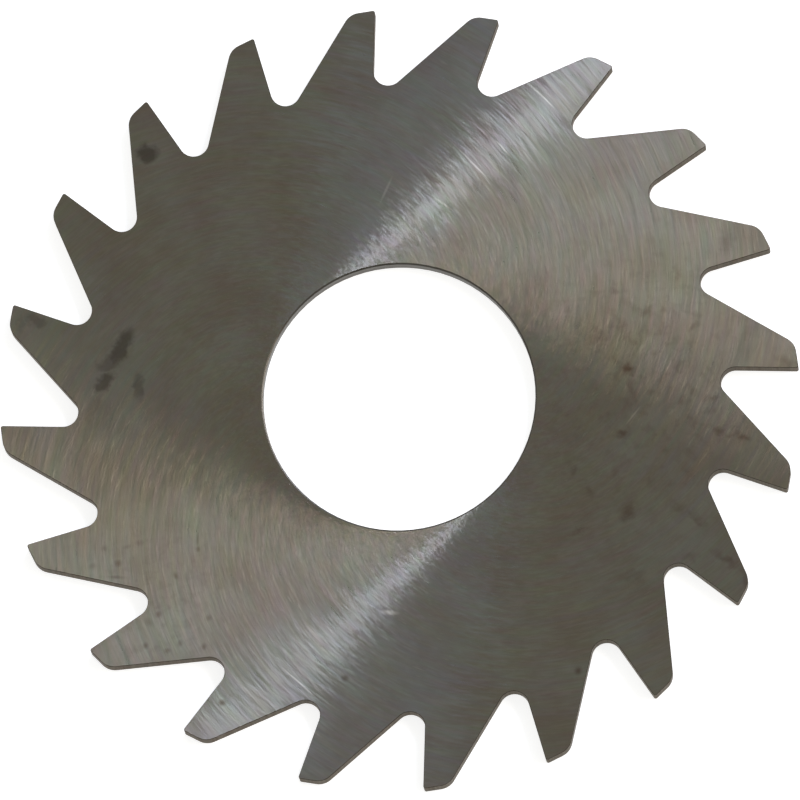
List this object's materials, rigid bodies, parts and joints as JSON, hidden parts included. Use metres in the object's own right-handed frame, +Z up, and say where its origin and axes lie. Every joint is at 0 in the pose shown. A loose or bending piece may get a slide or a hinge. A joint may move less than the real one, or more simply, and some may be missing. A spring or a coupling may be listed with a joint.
{
  "type": "slitting saw",
  "caption": "Thin round metal-slitting saw for a milling arbor, with a plain bore, hollow-ground sides and raked teeth with round gullets.",
  "frame": {"origin": "on the bore's axis, at the plane that the lower tooth corners rest on", "axes": "+Z up along the bore's axis, +Y through the tip of one tooth; seen from above the saw cuts clockwise"},
  "size_m": [0.0744, 0.0744, 0.0016],
  "materials": {
    "ground_steel": "cup-wheel ground high-speed steel, used and dulled, with small brown rust stains"
  },
  "bodies": {
    "root": {"saw_blade": "ground_steel"}
  },
  "joints": []
}
